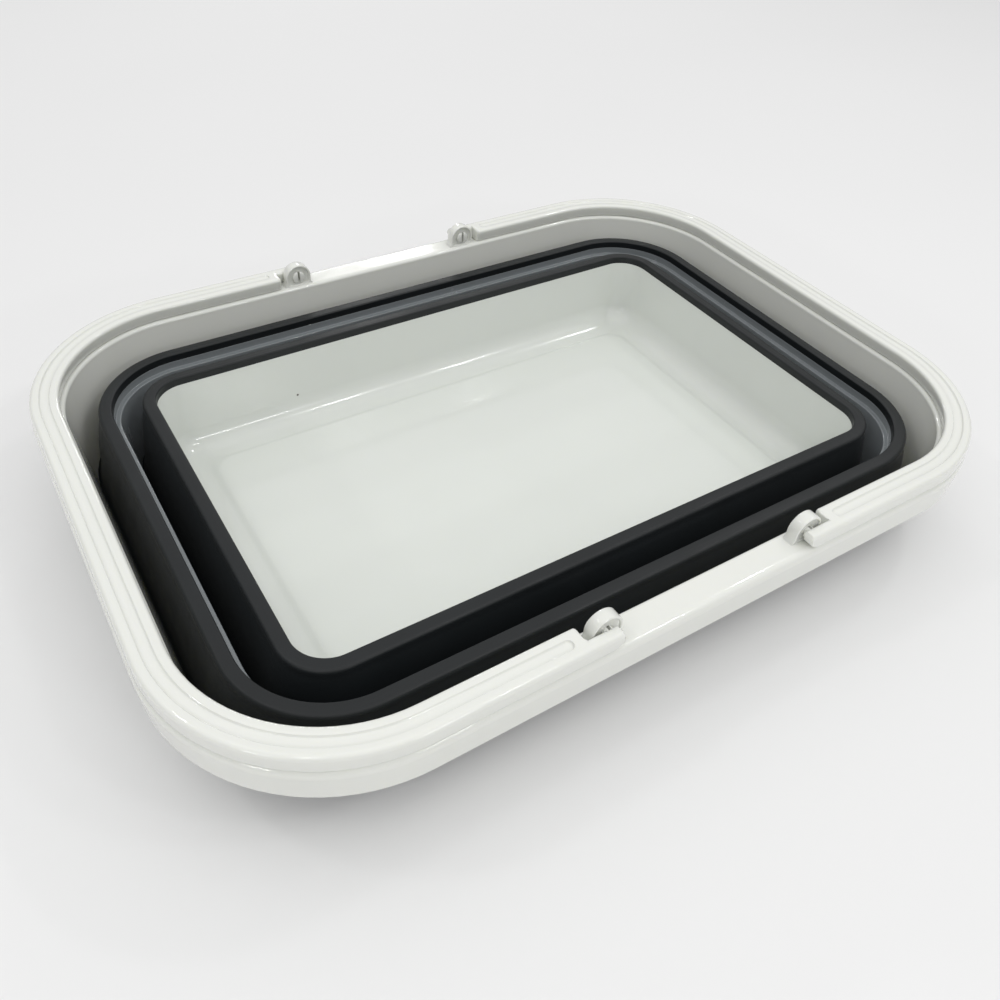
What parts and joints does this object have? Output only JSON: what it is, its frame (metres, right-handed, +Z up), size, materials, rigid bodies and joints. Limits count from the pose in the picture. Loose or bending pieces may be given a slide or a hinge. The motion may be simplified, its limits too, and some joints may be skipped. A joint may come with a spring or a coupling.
{
  "type": "pet bathtub",
  "caption": "Folding rectangular bathtub: rigid tray, middle ring and rim joined by rubber bellows, with two swinging U-shaped carry handles.",
  "frame": {"origin": "middle of the folded tub's underside, on the ground", "axes": "+X along the tub's long side, +Y along its short side, +Z up out of its mouth"},
  "size_m": [0.474, 0.349, 0.0777],
  "materials": {
    "tray_plastic": "glossy white polypropylene",
    "ring_plastic": "glossy blue-grey polypropylene",
    "rim_plastic": "glossy white polypropylene",
    "handle_plastic": "glossy white polypropylene",
    "band_rubber": "satin dark grey thermoplastic rubber",
    "wall_rubber": "satin dark grey thermoplastic rubber"
  },
  "bodies": {
    "tray": {"tray": "tray_plastic", "inner_bellows_band": "band_rubber", "inner_bellows_wall": "wall_rubber"},
    "mid_ring": {"mid_ring": "ring_plastic", "outer_bellows_band": "band_rubber", "outer_bellows_wall": "wall_rubber"},
    "rim": {"rim": "rim_plastic"},
    "left_handle": {"left_handle": "handle_plastic"},
    "right_handle": {"right_handle": "handle_plastic"}
  },
  "joints": [
    {"name": "ring_lift", "type": "slide", "parent": "tray", "child": "mid_ring", "axis": [0, 0, 1], "range_m": [0, 0.076], "deforming": ["inner_bellows_wall"]},
    {"name": "rim_lift", "type": "slide", "parent": "mid_ring", "child": "rim", "axis": [0, 0, 1], "range_m": [0, 0.07], "deforming": ["outer_bellows_wall"]},
    {"name": "left_handle_swing", "type": "hinge", "parent": "rim", "child": "left_handle", "pos_m": [-0.0605, 0, 0.0695], "axis": [0, 1, 0], "range_deg": [0, 105]},
    {"name": "right_handle_swing", "type": "hinge", "parent": "rim", "child": "right_handle", "pos_m": [0.0605, 0, 0.0695], "axis": [0, -1, 0], "range_deg": [0, 105]}
  ]
}
